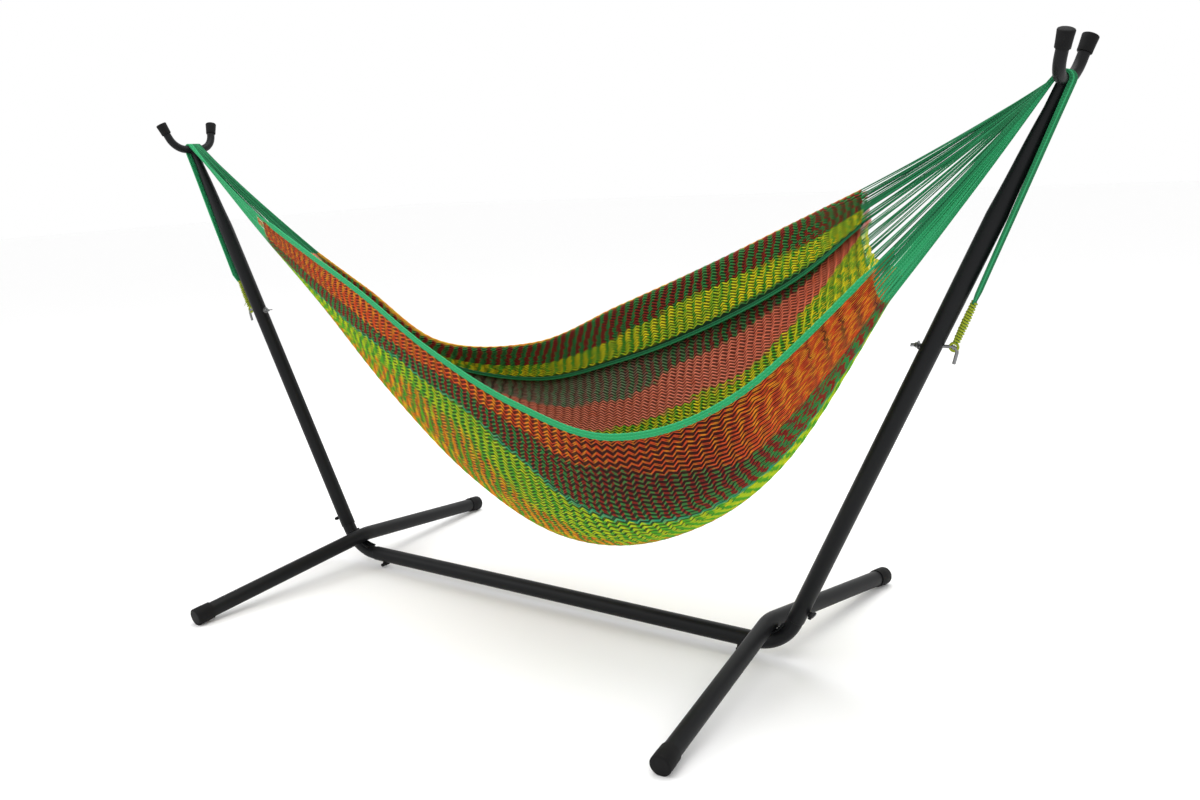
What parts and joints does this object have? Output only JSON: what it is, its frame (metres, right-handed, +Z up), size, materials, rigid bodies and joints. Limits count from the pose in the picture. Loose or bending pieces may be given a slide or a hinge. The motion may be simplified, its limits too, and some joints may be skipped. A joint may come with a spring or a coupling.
{
  "type": "hammock on stand",
  "caption": "Striped net hammock slung between the forked arms of a knock-down tubular steel stand with splayed feet and capped ends.",
  "frame": {"origin": "on the floor under the middle of the stand", "axes": "+X along the spine towards the right arm, +Y to the back, +Z up"},
  "size_m": [2.9274, 1.2516, 1.4771],
  "materials": {
    "powder_coat": "satin black powder coat",
    "rubber": "matt moulded black",
    "knob_plastic": "moulded black plastic",
    "zinc": "bright zinc plate",
    "net_yarn": "variegated polyester-cotton yarn, netted by hand",
    "green_string": "twisted green string",
    "green_edge": "braided green edge cord",
    "lime_whipping": "tightly wound lime cord",
    "label": "plain woven label, blank"
  },
  "bodies": {
    "root": {"spine_tube": "powder_coat", "left_elbow": "powder_coat", "left_arm": "powder_coat", "left_yoke": "powder_coat", "left_foot": "powder_coat", "left_front_yoke_cap": "rubber", "left_back_yoke_cap": "rubber", "left_front_foot_cap": "rubber", "left_back_foot_cap": "rubber", "left_arm_insert": "zinc", "left_spine_insert": "zinc", "left_hook_bolt": "zinc", "left_hook_washer": "zinc", "left_back_strap": "green_string", "left_whipped_eye": "lime_whipping", "right_elbow": "powder_coat", "right_arm": "powder_coat", "right_yoke": "powder_coat", "right_foot": "powder_coat", "right_front_yoke_cap": "rubber", "right_back_yoke_cap": "rubber", "right_front_foot_cap": "rubber", "right_back_foot_cap": "rubber", "right_arm_insert": "zinc", "right_spine_insert": "zinc", "right_hook_bolt": "zinc", "right_hook_washer": "zinc", "right_back_strap": "green_string", "right_whipped_eye": "lime_whipping", "strap_tag": "label"},
    "hammock": {"hammock_net": "net_yarn", "left_string_fan": "green_string", "right_string_fan": "green_string", "near_edge_cord": "green_edge", "far_edge_cord": "green_edge"},
    "left_arm_screw": {"left_arm_knob": "knob_plastic", "left_arm_knob_stud": "zinc"},
    "left_spine_screw": {"left_spine_knob": "knob_plastic", "left_spine_knob_stud": "zinc"},
    "left_wing_nut": {"left_wing_nut": "zinc"},
    "right_arm_screw": {"right_arm_knob": "knob_plastic", "right_arm_knob_stud": "zinc"},
    "right_spine_screw": {"right_spine_knob": "knob_plastic", "right_spine_knob_stud": "zinc"},
    "right_wing_nut": {"right_wing_nut": "zinc"}
  },
  "joints": [
    {"name": "hammock_swing", "type": "hinge", "parent": "root", "child": "hammock", "pos_m": [0, 0, 1.399], "axis": [1, 0, 0], "range_deg": [-20, 20]},
    {"name": "left_wing_nut_turn", "type": "hinge", "parent": "root", "child": "left_wing_nut", "pos_m": [-1.1, 0, 0.838], "axis": [1, 0, 0], "continuous": true},
    {"name": "left_arm_screw_turn", "type": "hinge", "parent": "root", "child": "left_arm_screw", "pos_m": [-0.83919, 0, 0.15401], "axis": [-0.9033, 0, -0.4289], "continuous": true},
    {"name": "left_spine_screw_turn", "type": "hinge", "parent": "root", "child": "left_spine_screw", "pos_m": [-0.662, 0, 0.012], "axis": [0, 0, -1], "continuous": true},
    {"name": "right_wing_nut_turn", "type": "hinge", "parent": "root", "child": "right_wing_nut", "pos_m": [1.1, 0, 0.838], "axis": [1, 0, 0], "continuous": true},
    {"name": "right_arm_screw_turn", "type": "hinge", "parent": "root", "child": "right_arm_screw", "pos_m": [0.83919, 0, 0.15401], "axis": [0.9033, 0, -0.4289], "continuous": true},
    {"name": "right_spine_screw_turn", "type": "hinge", "parent": "root", "child": "right_spine_screw", "pos_m": [0.662, 0, 0.012], "axis": [0, 0, -1], "continuous": true}
  ]
}
